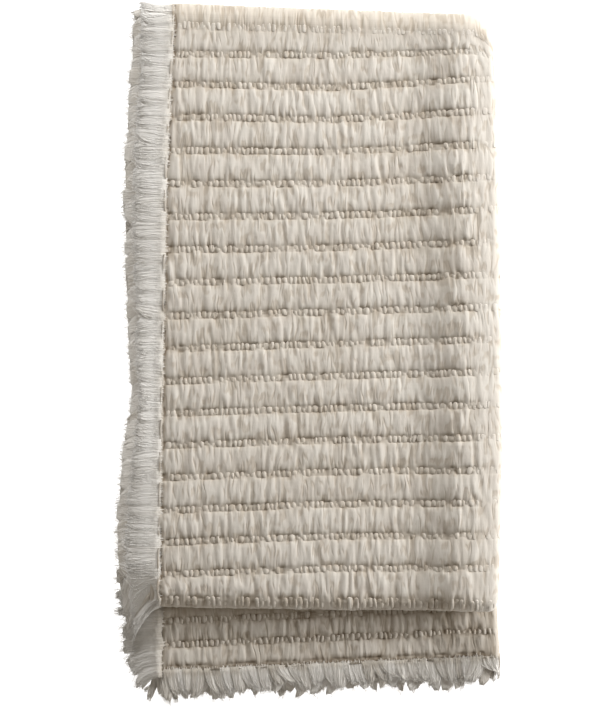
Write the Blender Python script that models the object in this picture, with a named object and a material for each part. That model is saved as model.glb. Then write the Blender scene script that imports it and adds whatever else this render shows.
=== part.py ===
"""Fringed throw blanket of crinkled cotton, folded for a shelf and lying face up.

The sheet is made flat and then folded by two routes: in half twice across its width,
and in three along its length with one end tucked inside. Metres, +Z up. +Y is the top
fold and +X is the side of the folds across the width.
"""
import math

import bmesh
import bpy
import numpy as np
from mathutils import Vector, noise

# The flat cloth
CLOTH_WIDTH = 1.240
CLOTH_LENGTH = 1.640
SHEET = 0.0022
HALF_SHEET = SHEET / 2

# How the layers lie
PLY_PITCH = 0.0031
PASS_PITCH = 0.0128
OUTER_PLY = 1.5 * PLY_PITCH
INNER_PLY = 0.5 * PLY_PITCH
HALF_STACK = OUTER_PLY + HALF_SHEET
FOLD_SET_IN = 0.004
SELVEDGE_STEP = 0.006

# Straight stretches of the folds across the width, worked out from the flat width
FOLDS_ACROSS = math.pi * (OUTER_PLY + 2 * INNER_PLY)
PLY_LENGTH = (CLOTH_WIDTH - FOLDS_ACROSS + 2 * FOLD_SET_IN - SELVEDGE_STEP) / 4
BODY_WIDTH = PLY_LENGTH + HALF_STACK

# Stretches of the folds along the length
TOP_FOLD_RADIUS = PASS_PITCH
FLAP_FOLD_RADIUS = PASS_PITCH / 2
TOP_FOLD_ARC = math.pi * TOP_FOLD_RADIUS
FLAP_FOLD_ARC = math.pi * FLAP_FOLD_RADIUS
UNDER_PASS = 0.5905
FRONT_PASS = 0.5250
TUCKED_PASS = CLOTH_LENGTH - UNDER_PASS - FRONT_PASS - TOP_FOLD_ARC - FLAP_FOLD_ARC
TOP_FOLD_START = UNDER_PASS
FRONT_START = TOP_FOLD_START + TOP_FOLD_ARC
FLAP_FOLD_START = FRONT_START + FRONT_PASS
TUCKED_START = FLAP_FOLD_START + FLAP_FOLD_ARC
TOP_FOLD_Y = -(TOP_FOLD_RADIUS + HALF_STACK)
OUTER_FOLD_END = PLY_LENGTH + math.pi * OUTER_PLY
FRONT_WIDTH = PLY_LENGTH + math.pi * OUTER_PLY * 4 / 6
BAND = FRONT_PASS / 4
STRIP_OPEN = 0.040
STRIP_SHOWN = UNDER_PASS - 4 * BAND
STRIP_END = OUTER_FOLD_END + PLY_LENGTH - FOLD_SET_IN

# Where the face carries its rows in relief, across the width and along the length
ROW_ZONES = {
    "front": ((0.0, FRONT_WIDTH), (TOP_FOLD_START, TUCKED_START)),
    "strip": ((OUTER_FOLD_END, STRIP_END), (0.0, STRIP_SHOWN)),
    "under": ((0.0, PLY_LENGTH), (0.0, TOP_FOLD_START)),
}

# Stitched rows across the cloth, as distances from the end that shows
ROW_RUNS = (
    # first, last, rows
    (0.0030, 0.0470, 3),
    (0.0773, 0.6330, 19),
    (0.6578, 1.1592, 18),
)
ROW_HALF = 0.0022
ROW_DEPTH = 0.0009
PUFF_HEIGHT = 0.0012
PUFF_REACH = 0.0095
PUFF_EASE = 0.012
PUFF_UNEVEN = 0.35
PUFF_GRAIN = (28, 34)
STRIP_PUFF = 0.8
UNDER_GROOVE_HALF = 0.0040
ROW_EASE = 0.020
ROW_WANDER = 0.0007
WANDER_GRAIN = (30, 12)

# How finely the cloth is divided
FROM_RIGHT_FOLD = (0.0, 0.014, 0.030, 0.048, 0.072, 0.190)
FOLD_PARTS = 6
INNER_FOLD_PARTS = 4
CUT_TOLERANCE = 1e-6
LINE_ROOM = 0.0012
FRONT_COLUMNS = 10

# Fringe
GAP = 0.0003
STRIP = 0.006
SIDE_FRINGE = 0.033
END_FRINGE = 0.024
SIDE_PITCH = 0.0235
SHOWN_END_PITCH = 0.0190
TUCKED_END_PITCH = 0.0500
FOLD_PITCH = 0.0100
LOCK_SHARE = 0.74
FOLD_LOCK_SHARE = 0.55
TUCKED_LOCK_SHARE = 0.35
LOCK_SECTIONS = (
    # share of the length, width, thickness
    (0.55, 0.86, 0.80),
    (1.00, 0.36, 0.45),
)
LOCK_LEAN = 0.006
LOCK_UNEVEN = 0.22
LOCK_GRAIN = (75, 50)
FRINGE_DROOP = 0.29
DROOP_REACH = 1.2

# How far the two sides stand from the even outline
EDGES = (
    # bands down from the top fold, left edge, right edge
    (0.0, 0.0072, -0.0078),
    (1.0, 0.0004, -0.0032),
    (2.0, -0.0020, -0.0007),
    (3.0, -0.0046, 0.0006),
    (4.0, -0.0069, -0.0028),
    (4.5, -0.0060, 0.0012),
)
# How far the rows on the front rise at the two sides
ROW_SWAY = (
    # y, at the left, at the right
    (-0.019, 0.0000, 0.0000),
    (-0.080, 0.0033, 0.0086),
    (-0.150, 0.0006, 0.0062),
    (-0.225, -0.0020, 0.0052),
    (-0.300, -0.0048, 0.0046),
    (-0.450, -0.0056, 0.0020),
    (-0.540, -0.0062, 0.0004),
)
# How far the side fringe reaches past the selvedge
SIDE_REACH = (
    # y, share of the fringe
    (0.000, 1.00),
    (-0.180, 1.06),
    (-0.290, 0.88),
    (-0.360, 0.72),
    (-0.410, 0.92),
    (-0.480, 1.10),
    (-0.560, 1.06),
    (-0.590, 0.92),
    (-0.620, 0.62),
)
TOP_EDGE_RISE = 0.0040
TOP_EDGE_DROP = 0.0080
TOP_EDGE_FADE = 0.050
TOP_CORNER = 0.026
TOP_CORNER_FADE = 0.075
FLAP_TILT = 0.004
FLAP_CORNER = 0.010
FLAP_CORNER_FADE = 0.030
END_SLANT = 0.0138
END_SLANT_FROM = 0.060
END_SLANT_TO = 0.160

# The soft ridge beside the right fold, and the trough beside it
RIDGE_INSET = 0.034
RIDGE_HALF_WIDTHS = (0.027, 0.036)
RIDGE_RISE = 0.21
RIDGE_AT_TOP = 0.75
RIDGE_FULL = (0.02, 0.20)
TROUGH_INSET = 0.072
TROUGH_HALF_WIDTH = 0.023
TROUGH_DROP = 0.02
TROUGH_FULL = (0.03, 0.12)
SWELL = 0.02
SWELL_GRAIN = (5, 4)

ACROSS = (
    # length, turn
    (PLY_LENGTH, 0),
    (math.pi * OUTER_PLY, -math.pi),
    (PLY_LENGTH - FOLD_SET_IN, 0),
    (math.pi * INNER_PLY, -math.pi),
    (PLY_LENGTH - FOLD_SET_IN, 0),
    (math.pi * INNER_PLY, math.pi),
    (PLY_LENGTH + SELVEDGE_STEP, 0),
)
ALONG = (
    # length, turn
    (UNDER_PASS, 0),
    (TOP_FOLD_ARC, math.pi),
    (FRONT_PASS, 0),
    (FLAP_FOLD_ARC, math.pi),
    (TUCKED_PASS, 0),
)


def smooth_step(value, low, high):
    share = min(max((value - low) / (high - low), 0.0), 1.0)
    return share * share * (3 - 2 * share)


def bump(distance, half_width):
    return math.exp(-((distance / half_width) ** 2))


def from_table(table, place, column):
    rows = sorted(table)
    return float(np.interp(place, [row[0] for row in rows], [row[column] for row in rows]))


def uneven(x, y, grain, seed):
    """Smooth unevenness between -1 and 1, with so many swells a metre each way."""
    return noise.noise(Vector((x * grain[0], y * grain[1], seed)))


def follow(route, start, distance, offset):
    """Point at a distance along straight runs and round turns, set off to the left."""
    x, y = start
    heading = 0.0
    for number, (length, turn) in enumerate(route, 1):
        ends_here = distance <= length or number == len(route)
        step = distance if ends_here else length
        if turn:
            radius = length / turn
            x -= radius * math.sin(heading)
            y += radius * math.cos(heading)
            heading += step / radius
            x += radius * math.sin(heading)
            y -= radius * math.cos(heading)
        else:
            x += step * math.cos(heading)
            y += step * math.sin(heading)
        if ends_here:
            break
        distance -= step
    return x - offset * math.sin(heading), y + offset * math.cos(heading)


def stitch_rows():
    rows = []
    for first, last, count in ROW_RUNS:
        rows += list(np.linspace(first, last, count))
    return rows


ROWS = stitch_rows()


def row_distance(length_place):
    return min(abs(length_place - row) for row in ROWS)


def row_shift(width_place, length_place):
    """How far the cloth is pulled along at this place, so that the rows wander."""
    x_share = min(max(width_place / BODY_WIDTH, 0.0), 1.0)
    y = TOP_FOLD_Y - (length_place - FRONT_START)
    on_front = smooth_step(length_place, FRONT_START, FRONT_START + ROW_EASE)
    on_front *= 1 - smooth_step(length_place, FLAP_FOLD_START - ROW_EASE, FLAP_FOLD_START)
    left = from_table(ROW_SWAY, y, 1) * max(1 - 2 * x_share, 0)
    right = from_table(ROW_SWAY, y, 2) * max(2 * x_share - 1, 0)
    wander = ROW_WANDER * uneven(width_place, length_place, WANDER_GRAIN, 4.0)
    return -(left + right + wander) * on_front


def worked_zone(width_place, length_place):
    """The zone of the face that carries its rows in relief, or None where none shows."""
    for zone, (width_zone, length_zone) in ROW_ZONES.items():
        in_width = width_zone[0] <= width_place <= width_zone[1]
        if in_width and length_zone[0] <= length_place <= length_zone[1]:
            return zone
    return None


def puff(width_place, length_place):
    """How far the face of the cloth stands out between its stitched rows."""
    zone = worked_zone(width_place, length_place)
    height = float(
        np.interp(
            row_distance(length_place),
            [ROW_HALF, PUFF_REACH],
            [-ROW_DEPTH, PUFF_HEIGHT],
        )
    )
    if zone == "under" and row_distance(length_place) < ROW_HALF:
        return -ROW_DEPTH
    if zone in ("under", None):
        return 0.0
    if height <= 0:
        return height
    if zone == "front":
        shown = smooth_step(length_place, TOP_FOLD_START, TOP_FOLD_START + PUFF_EASE)
        shown *= 1 - smooth_step(length_place, FLAP_FOLD_START, FLAP_FOLD_START + PUFF_EASE)
        shown *= 1 - smooth_step(width_place, PLY_LENGTH, FRONT_WIDTH)
    else:
        shown = STRIP_PUFF * (1 - smooth_step(length_place, STRIP_OPEN, STRIP_SHOWN))
        shown *= smooth_step(width_place, OUTER_FOLD_END, OUTER_FOLD_END + PUFF_EASE)
        shown *= 1 - smooth_step(width_place, STRIP_END - PUFF_EASE, STRIP_END)
    return height * shown * (1 + PUFF_UNEVEN * uneven(width_place, length_place, PUFF_GRAIN, 9.0))


def swell(x, y):
    """How much taller the stack is here than where it lies evenly."""
    from_right = BODY_WIDTH - x
    steep, gentle = RIDGE_HALF_WIDTHS
    half_width = steep if from_right > RIDGE_INSET else gentle
    rise = RIDGE_RISE * bump(from_right - RIDGE_INSET, half_width)
    rise *= RIDGE_AT_TOP + (1 - RIDGE_AT_TOP) * smooth_step(-y, *RIDGE_FULL)
    drop = TROUGH_DROP * bump(from_right - TROUGH_INSET, TROUGH_HALF_WIDTH)
    drop *= smooth_step(-y, *TROUGH_FULL)
    return 1 + rise - drop + SWELL * uneven(x, y, SWELL_GRAIN, 2.0)


def end_slant(x, length_place):
    on_strip = 1 - smooth_step(length_place, END_SLANT_FROM, END_SLANT_TO)
    return END_SLANT * (min(max(x / BODY_WIDTH, 0.0), 1.0) - 0.5) * on_strip


def corner_pull(x, radius):
    inside = min(max(x - (BODY_WIDTH - radius), 0.0), radius * 0.98)
    return radius - math.sqrt(radius * radius - inside * inside)


def outline(x, y, length_place):
    """Move a place of the evenly folded throw to where the uneven one has it."""
    x_share = min(max(x / BODY_WIDTH, 0.0), 1.0)
    top_fade = 1 - smooth_step(-y, 0.0, TOP_EDGE_FADE)
    edge = TOP_EDGE_RISE - (TOP_EDGE_RISE + TOP_EDGE_DROP) * x_share
    moved = edge * top_fade
    moved -= corner_pull(x, TOP_CORNER) * (1 - smooth_step(-y, 0.0, TOP_CORNER_FADE))
    if length_place > FRONT_START:
        above_flap = y - (TOP_FOLD_Y - FRONT_PASS - FLAP_FOLD_RADIUS - HALF_STACK)
        flap_fade = 1 - smooth_step(above_flap, 0.0, FLAP_CORNER_FADE)
        moved += (FLAP_TILT * (0.5 - x_share) + corner_pull(x, FLAP_CORNER)) * flap_fade
    moved += end_slant(x, length_place)
    bands_down = (TOP_FOLD_Y - y) / BAND
    left = from_table(EDGES, bands_down, 1)
    right = from_table(EDGES, bands_down, 2)
    return x + left + (right - left) * x_share, y + moved


def folded(width_place, length_place, offset):
    """Where a point of the flat sheet lies once it is folded."""
    length_place_moved = length_place + row_shift(width_place, length_place)
    x, across = follow(ACROSS, (0.0, OUTER_PLY), width_place, offset)
    start = (TOP_FOLD_Y - UNDER_PASS, HALF_STACK)
    y, z = follow(ALONG, start, length_place_moved, -across)
    z *= swell(max(x, 0.0), y)
    past_edge = (-x - SELVEDGE_STEP) / SIDE_FRINGE
    past_end = -length_place / END_FRINGE
    droop = FRINGE_DROOP * smooth_step(max(past_edge, past_end), 0.0, DROOP_REACH)
    z -= max(z - HALF_SHEET, 0.0) * droop
    x, y = outline(x, y, length_place)
    return Vector((x, y, z))


def spread(first, last, count):
    return list(np.linspace(first, last, count + 1))


def stations(*runs):
    """One rising list of places from runs that may share their ends."""
    places = []
    for place in (place for run in runs for place in run):
        if not places or place > places[-1] + CUT_TOLERANCE:
            places.append(place)
    return places


def ply_stations():
    """Places across the width, the same over one another in all four plies."""
    third_start = STRIP_END + math.pi * INNER_PLY
    third_end = third_start + PLY_LENGTH - FOLD_SET_IN
    fourth_start = third_end + math.pi * INNER_PLY
    return stations(
        [0.0],
        [PLY_LENGTH - place for place in reversed(FROM_RIGHT_FOLD)],
        spread(PLY_LENGTH, OUTER_FOLD_END, FOLD_PARTS),
        [OUTER_FOLD_END + place for place in FROM_RIGHT_FOLD],
        spread(STRIP_END, third_start, INNER_FOLD_PARTS),
        [third_end - place for place in reversed(FROM_RIGHT_FOLD)],
        spread(third_end, fourth_start, INNER_FOLD_PARTS),
        [fourth_start + place for place in FROM_RIGHT_FOLD],
        [CLOTH_WIDTH],
    )


def pass_stations():
    """Places along the length, over one another in all three passes."""
    return stations(
        [0.0],
        spread(STRIP_SHOWN, TOP_FOLD_START, 4),
        spread(TOP_FOLD_START, FRONT_START, FOLD_PARTS),
        spread(FRONT_START, FLAP_FOLD_START, 4),
        spread(FLAP_FOLD_START, TUCKED_START, FOLD_PARTS),
        [TUCKED_START + BAND * number for number in range(4)],
        [TUCKED_START + BAND * 3, CLOTH_LENGTH],
    )


def slab(bm, columns, rows):
    """A flat closed slab whose two sides are divided at the given places."""
    bmesh.ops.create_grid(
        bm, x_segments=len(columns) - 1, y_segments=len(rows) - 1, size=0.5
    )
    for vert in bm.verts:
        column = round((vert.co.x + 0.5) * (len(columns) - 1))
        row = round((vert.co.y + 0.5) * (len(rows) - 1))
        vert.co = (columns[column], rows[row], HALF_SHEET)
    under = bmesh.ops.extrude_face_region(bm, geom=bm.faces[:])["geom"]
    under = [part for part in under if isinstance(part, bmesh.types.BMVert)]
    bmesh.ops.translate(bm, verts=under, vec=(0, 0, -SHEET))
    bmesh.ops.recalc_face_normals(bm, faces=bm.faces)


def faces_in_zone(bm, width_zone, length_zone):
    found = []
    for face in bm.faces:
        centre = face.calc_center_median()
        in_width = width_zone[0] < centre.x < width_zone[1]
        in_length = length_zone[0] < centre.y < length_zone[1]
        if centre.z > HALF_SHEET * 0.9 and in_width and in_length:
            found.append(face)
    return found


def cut_face(bm, width_zone, length_zone, places, direction):
    """Divide the face side of one zone of the slab at more places."""
    normal = Vector((1, 0, 0)) if direction == "x" else Vector((0, 1, 0))
    for place in places:
        faces = faces_in_zone(bm, width_zone, length_zone)
        edges = {edge for face in faces for edge in face.edges}
        verts = {vert for face in faces for vert in face.verts}
        bmesh.ops.bisect_plane(
            bm,
            geom=[*faces, *edges, *verts],
            dist=CUT_TOLERANCE,
            plane_co=normal * place,
            plane_no=normal,
        )


def row_lines(offsets, first, last):
    """Lines beside each stitched row, clear of the lines that are already there."""
    taken = pass_stations()
    lines = sorted(row + offset for row in ROWS for offset in offsets)
    lines = [line for line in lines if first < line < last]
    return [line for line in lines if min(abs(line - place) for place in taken) > LINE_ROOM]


def build_cloth():
    bm = bmesh.new()
    slab(bm, ply_stations(), pass_stations())
    puffed = (-PUFF_REACH, -ROW_HALF, ROW_HALF, PUFF_REACH)
    grooved = (-UNDER_GROOVE_HALF, 0.0, UNDER_GROOVE_HALF)
    for zone, (width_zone, length_zone) in ROW_ZONES.items():
        offsets = grooved if zone == "under" else puffed
        cut_face(bm, width_zone, length_zone, row_lines(offsets, *length_zone), "y")
    even_width = (0.0, PLY_LENGTH - TROUGH_INSET)
    front_length = (TOP_FOLD_START, FLAP_FOLD_START)
    columns = spread(*even_width, FRONT_COLUMNS)
    cut_face(bm, even_width, front_length, columns, "x")
    for vert in bm.verts:
        if vert.co.z > 0:
            vert.co.z += puff(vert.co.x, vert.co.y)
    return bm


def lock_cells(first, last, pitch, share, reach):
    """Cells along a fringe strip: a space, then a lock of some reach, and so on."""
    count = max(round((last - first) / pitch), 1)
    step = (last - first) / count
    cells = []
    for number in range(count):
        start = first + number * step
        lock = start + step * (1 - share)
        cells.append((start, lock, 0.0))
        cells.append((lock, start + step, reach))
    return cells


def plain_cells(first, last, count):
    places = spread(first, last, count)
    return [(low, high, 0.0) for low, high in zip(places, places[1:])]


def build_lock(bm, root, reach):
    """Draw one lock out of its strip: it thins from below and leans a little."""
    middle = root.calc_center_median().y
    half_width = max(vert.co.y for vert in root.verts) - middle
    lean = LOCK_LEAN * uneven(middle, reach, LOCK_GRAIN, 7.0)
    length = reach * (1 + LOCK_UNEVEN * uneven(middle, reach, LOCK_GRAIN, 3.0))
    for along, width, thickness in LOCK_SECTIONS:
        root = bmesh.ops.extrude_discrete_faces(bm, faces=[root])["faces"][0]
        centre = root.calc_center_median().y
        for vert in root.verts:
            side = half_width * width * (1 if vert.co.y > centre else -1)
            vert.co.y = middle + side + lean * along * along
            vert.co.x = GAP + STRIP + (length - STRIP) * along
            if vert.co.z < 0:
                vert.co.z = HALF_SHEET - SHEET * thickness


def build_fringe(cells):
    """A narrow strip with a lock on each cell that has a reach."""
    bm = bmesh.new()
    rows = [cells[0][0]] + [cell[1] for cell in cells]
    slab(bm, [GAP, GAP + STRIP], rows)
    outer_wall = GAP + STRIP * 0.99
    roots = [face for face in bm.faces if face.calc_center_median().x > outer_wall]
    for root in roots:
        cell = cells[int(np.searchsorted(rows, root.calc_center_median().y)) - 1]
        if cell[2]:
            build_lock(bm, root, cell[2])
    return bm


def side_cells():
    """Cells down a selvedge: closer locks over the top fold, none round the flap fold."""
    cells = lock_cells(0.0, TOP_FOLD_START, SIDE_PITCH, LOCK_SHARE, SIDE_FRINGE)
    cells += lock_cells(TOP_FOLD_START, FRONT_START, FOLD_PITCH, FOLD_LOCK_SHARE, SIDE_FRINGE)
    cells += lock_cells(FRONT_START, FLAP_FOLD_START, SIDE_PITCH, LOCK_SHARE, SIDE_FRINGE)
    cells += plain_cells(FLAP_FOLD_START, TUCKED_START, FOLD_PARTS)
    cells += lock_cells(TUCKED_START, CLOTH_LENGTH, SIDE_PITCH, LOCK_SHARE, SIDE_FRINGE)
    return cells


def end_cells(pitch, share, reach):
    """Cells along an end, with none round the folds across the width."""
    turns = (math.pi * OUTER_PLY, math.pi * INNER_PLY, math.pi * INNER_PLY)
    runs = (
        PLY_LENGTH,
        PLY_LENGTH - FOLD_SET_IN,
        PLY_LENGTH - FOLD_SET_IN,
        PLY_LENGTH + SELVEDGE_STEP,
    )
    cells = []
    place = 0.0
    for run, turn in zip(runs, (*turns, 0.0)):
        cells += lock_cells(place, place + run, pitch, share, reach)
        place += run
        if turn:
            cells += plain_cells(place, place + turn, INNER_FOLD_PARTS)
            place += turn
    return cells


def place_down(length_place):
    """How far from the top fold a place along the cloth lies, as a y value."""
    start = (TOP_FOLD_Y - UNDER_PASS, HALF_STACK)
    return follow(ALONG, start, length_place, 0.0)[0]


def lay_side_fringe(bm, first_selvedge):
    for vert in bm.verts:
        past = vert.co.x
        down = place_down(vert.co.y)
        if past > GAP + STRIP:
            past = GAP + STRIP + (past - GAP - STRIP) * from_table(SIDE_REACH, down, 1)
        width_place = -past if first_selvedge else CLOTH_WIDTH + past
        vert.co = (width_place, vert.co.y, vert.co.z)


def lay_end_fringe(bm, shown_end):
    for vert in bm.verts:
        length_place = -vert.co.x if shown_end else CLOTH_LENGTH + vert.co.x
        vert.co = (vert.co.y, length_place, vert.co.z)


def cotton(name, colour, roughness):
    material = bpy.data.materials.new(name)
    material.use_nodes = True
    shader = material.node_tree.nodes["Principled BSDF"]
    shader.inputs["Base Color"].default_value = (*colour, 1.0)
    shader.inputs["Roughness"].default_value = roughness
    shader.inputs["Metallic"].default_value = 0.0
    return material


def fold_up(bm):
    """Take a flat piece to its folded place, its faces pointing out."""
    bmesh.ops.triangulate(bm, faces=bm.faces)
    for vert in bm.verts:
        vert.co = folded(*vert.co)
    bm.normal_update()
    bmesh.ops.recalc_face_normals(bm, faces=bm.faces)


def add_piece(name, bm, material):
    fold_up(bm)
    mesh = bpy.data.meshes.new(name)
    bm.to_mesh(mesh)
    bm.free()
    mesh.materials.append(material)
    piece = bpy.data.objects.new(name, mesh)
    bpy.context.scene.collection.objects.link(piece)
    return piece


def centre_on_floor(pieces):
    """Put the origin under the middle of the whole throw."""
    points = [vert.co for piece in pieces for vert in piece.data.vertices]
    low = [min(point[axis] for point in points) for axis in range(3)]
    high = [max(point[axis] for point in points) for axis in range(3)]
    shift = Vector((-(low[0] + high[0]) / 2, -(low[1] + high[1]) / 2, -low[2]))
    for piece in pieces:
        for vert in piece.data.vertices:
            vert.co += shift


def main():
    for old in list(bpy.data.objects):
        bpy.data.objects.remove(old, do_unlink=True)
    woven = cotton("crinkled_cotton", (0.50, 0.45, 0.38), 0.92)
    brushed = cotton("fringe_cotton", (0.58, 0.54, 0.48), 0.95)
    pieces = [add_piece("throw_cloth", build_cloth(), woven)]
    for name, first_selvedge in (("side_fringe_over", True), ("side_fringe_under", False)):
        fringe = build_fringe(side_cells())
        lay_side_fringe(fringe, first_selvedge)
        pieces.append(add_piece(name, fringe, brushed))
    for name, shown_end, pitch, share in (
        ("end_fringe_shown", True, SHOWN_END_PITCH, LOCK_SHARE),
        ("end_fringe_tucked", False, TUCKED_END_PITCH, TUCKED_LOCK_SHARE),
    ):
        fringe = build_fringe(end_cells(pitch, share, END_FRINGE))
        lay_end_fringe(fringe, shown_end)
        pieces.append(add_piece(name, fringe, brushed))
    centre_on_floor(pieces)


main()
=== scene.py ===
"""Looks of the folded, fringed throw blanket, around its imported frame.

The cloth is made flat and finely divided where it shows, takes its puffs, pleats and
beaded rows, and is then folded by the same two routes as its solid. The fringes are tufts
and single yarns laid out beside the flat cloth and folded along with it. The side fringe
at the flap then fans down over the fringe beside the strip. Metres, +Z up. +Y is the top
fold and +X is the side of the folds across the width.
"""

import math
from typing import NamedTuple

import bmesh
import bpy
import numpy as np
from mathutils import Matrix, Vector, noise


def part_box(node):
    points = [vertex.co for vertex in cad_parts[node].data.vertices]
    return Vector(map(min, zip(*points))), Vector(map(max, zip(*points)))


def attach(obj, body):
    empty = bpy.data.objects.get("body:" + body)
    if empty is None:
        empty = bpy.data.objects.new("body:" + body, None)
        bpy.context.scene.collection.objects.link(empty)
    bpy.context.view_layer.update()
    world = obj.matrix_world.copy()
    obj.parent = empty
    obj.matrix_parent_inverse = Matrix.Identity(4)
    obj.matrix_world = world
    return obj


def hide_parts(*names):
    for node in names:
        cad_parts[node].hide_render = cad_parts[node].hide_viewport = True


# The flat cloth and how its layers lie
CLOTH_WIDTH = 1.240
CLOTH_LENGTH = 1.640
PLIES = 4
PASS_BANDS = 4
SHEET = 0.0022
HALF_SHEET = SHEET / 2
PLY_PITCH = 0.0031
PASS_PITCH = 0.0128
OUTER_PLY = 1.5 * PLY_PITCH
INNER_PLY = 0.5 * PLY_PITCH
HALF_STACK = OUTER_PLY + HALF_SHEET
FOLD_SET_IN = 0.004
SELVEDGE_STEP = 0.006
GAP = 0.0003

# Stretches of the folds across the width and along the length
FOLDS_ACROSS = math.pi * (OUTER_PLY + 2 * INNER_PLY)
PLY_LENGTH = (CLOTH_WIDTH - FOLDS_ACROSS + 2 * FOLD_SET_IN - SELVEDGE_STEP) / PLIES
BODY_WIDTH = PLY_LENGTH + HALF_STACK
TOP_FOLD_RADIUS = PASS_PITCH
FLAP_FOLD_RADIUS = PASS_PITCH / 2
TOP_FOLD_ARC = math.pi * TOP_FOLD_RADIUS
FLAP_FOLD_ARC = math.pi * FLAP_FOLD_RADIUS
UNDER_PASS = 0.5905
FRONT_PASS = 0.5250
TUCKED_PASS = CLOTH_LENGTH - UNDER_PASS - FRONT_PASS - TOP_FOLD_ARC - FLAP_FOLD_ARC
TOP_FOLD_START = UNDER_PASS
FRONT_START = TOP_FOLD_START + TOP_FOLD_ARC
FLAP_FOLD_START = FRONT_START + FRONT_PASS
TUCKED_START = FLAP_FOLD_START + FLAP_FOLD_ARC
TOP_FOLD_Y = -(TOP_FOLD_RADIUS + HALF_STACK)
OUTER_FOLD_END = PLY_LENGTH + math.pi * OUTER_PLY
BAND = FRONT_PASS / PASS_BANDS
STRIP_OPEN = 0.040
STRIP_SHOWN = UNDER_PASS - PASS_BANDS * BAND
STRIP_END = OUTER_FOLD_END + PLY_LENGTH - FOLD_SET_IN
THIRD_PLY_START = STRIP_END + math.pi * INNER_PLY
THIRD_PLY_END = THIRD_PLY_START + PLY_LENGTH - FOLD_SET_IN
FOURTH_PLY_START = THIRD_PLY_END + math.pi * INNER_PLY
ACROSS = (
    # length, turn
    (PLY_LENGTH, 0),
    (math.pi * OUTER_PLY, -math.pi),
    (PLY_LENGTH - FOLD_SET_IN, 0),
    (math.pi * INNER_PLY, -math.pi),
    (PLY_LENGTH - FOLD_SET_IN, 0),
    (math.pi * INNER_PLY, math.pi),
    (PLY_LENGTH + SELVEDGE_STEP, 0),
)
ALONG = (
    # length, turn
    (UNDER_PASS, 0),
    (TOP_FOLD_ARC, math.pi),
    (FRONT_PASS, 0),
    (FLAP_FOLD_ARC, math.pi),
    (TUCKED_PASS, 0),
)

# How far the two sides stand from the even outline
EDGES = (
    # bands down from the top fold, left edge, right edge
    (0.0, 0.0072, -0.0078),
    (1.0, 0.0004, -0.0032),
    (2.0, -0.0020, -0.0007),
    (3.0, -0.0046, 0.0006),
    (4.0, -0.0069, -0.0028),
    (4.5, -0.0060, 0.0012),
)
# How far the rows on the front rise at the two sides
ROW_SWAY = (
    # y, at the left, at the right
    (-0.019, 0.0000, 0.0000),
    (-0.080, 0.0033, 0.0086),
    (-0.150, 0.0006, 0.0062),
    (-0.225, -0.0020, 0.0052),
    (-0.300, -0.0048, 0.0046),
    (-0.450, -0.0056, 0.0020),
    (-0.540, -0.0062, 0.0004),
)
# How far the side fringe reaches past the selvedge
SIDE_REACH = (
    # y, share of the fringe
    (0.000, 1.00),
    (-0.180, 1.06),
    (-0.290, 0.88),
    (-0.360, 0.72),
    (-0.410, 0.92),
    (-0.480, 1.10),
    (-0.560, 1.06),
    (-0.590, 0.92),
    (-0.620, 0.62),
)
# How far the end fringe reaches past the end
END_REACH = (
    # from the right fold along the strip, share of the fringe
    (-0.010, 0.95),
    (0.004, 0.85),
    (0.012, 1.30),
    (0.020, 1.10),
    (0.060, 0.95),
    (0.150, 0.95),
    (0.240, 1.05),
    (0.290, 1.20),
)
TOP_EDGE_RISE = 0.0040
TOP_EDGE_DROP = 0.0080
TOP_EDGE_FADE = 0.050
CORNER_MOST = 0.98
TOP_CORNER = 0.026
TOP_CORNER_FADE = 0.075
FLAP_TILT = 0.004
FLAP_CORNER = 0.010
FLAP_CORNER_FADE = 0.030
END_SLANT = 0.0138
END_SLANT_FROM = 0.060
END_SLANT_TO = 0.160

# The soft ridge beside the right fold, and the trough beside it
RIDGE_INSET = 0.034
RIDGE_HALF_WIDTHS = (0.027, 0.036)
RIDGE_RISE = 0.21
RIDGE_AT_TOP = 0.75
RIDGE_FULL = (0.02, 0.20)
TROUGH_INSET = 0.072
TROUGH_HALF_WIDTH = 0.023
TROUGH_DROP = 0.02
TROUGH_FULL = (0.03, 0.12)
SWELL = 0.02
SWELL_GRAIN = (5, 4)

# Stitched rows across the cloth, as distances from the end that shows
ROW_RUNS = (
    # first, last, rows
    (0.0030, 0.0470, 3),
    (0.0773, 0.6330, 19),
    (0.6578, 1.1592, 18),
)
ROW_PITCH = 0.0295
ROW_EASE = 0.020
ROW_WANDER = 0.0007
WANDER_GRAIN = (30, 12)

# How finely the cloth is divided
FROM_RIGHT_FOLD = (0.0, 0.014, 0.030, 0.048, 0.072, 0.190)
FOLD_PARTS = 6
INNER_FOLD_PARTS = 4
COLUMN = 0.00128
ROW_SIDE_LINES = (0.0, 0.0014, 0.0026, 0.0037, 0.0052, 0.0078)
MIDDLE_LINE_PITCH = 0.0048
SPARSE_SIDE_LINES = (0.0, 0.0040)
LINE_ROOM = 0.0005
PLACE_TOLERANCE = 1e-6

# Puffs of the face between the stitched rows, and the pleats on them
PUFF_HEIGHT = 0.0018
PUFF_FALL = -0.0003
PUFF_ROUNDNESS = 0.95
PUFF_UNEVEN = 0.30
PUFF_GRAIN = (26, 1.7)
PLEATS = (
    # cell across, height, share that is a narrow ridge, seed
    (0.0092, 0.00082, 0.0, 31.7),
    (0.0054, 0.00052, 0.0, 52.3),
    (0.0060, 0.00048, 1.0, 73.9),
)
PLEAT_STEEPNESS = 3.2
RIDGE_STEEPNESS = 5.0
PLEAT_FORK = 0.85
PLEAT_DRIFT = 0.0030
PLEAT_DRIFT_GRAIN = (60, 1.3)
PLEAT_PATCHES = 0.5
PLEAT_PATCH_GRAIN = (30, 3.7)
BILLOW_LEVEL = 0.6
RIDGE_LEVEL = 0.2
PLEATS_HELD_TO = 0.16
PLEATS_WHEN_CALM = 0.5
PLEATS_AT_ROWS = 0.55
BAND_APART = 7.31
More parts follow.
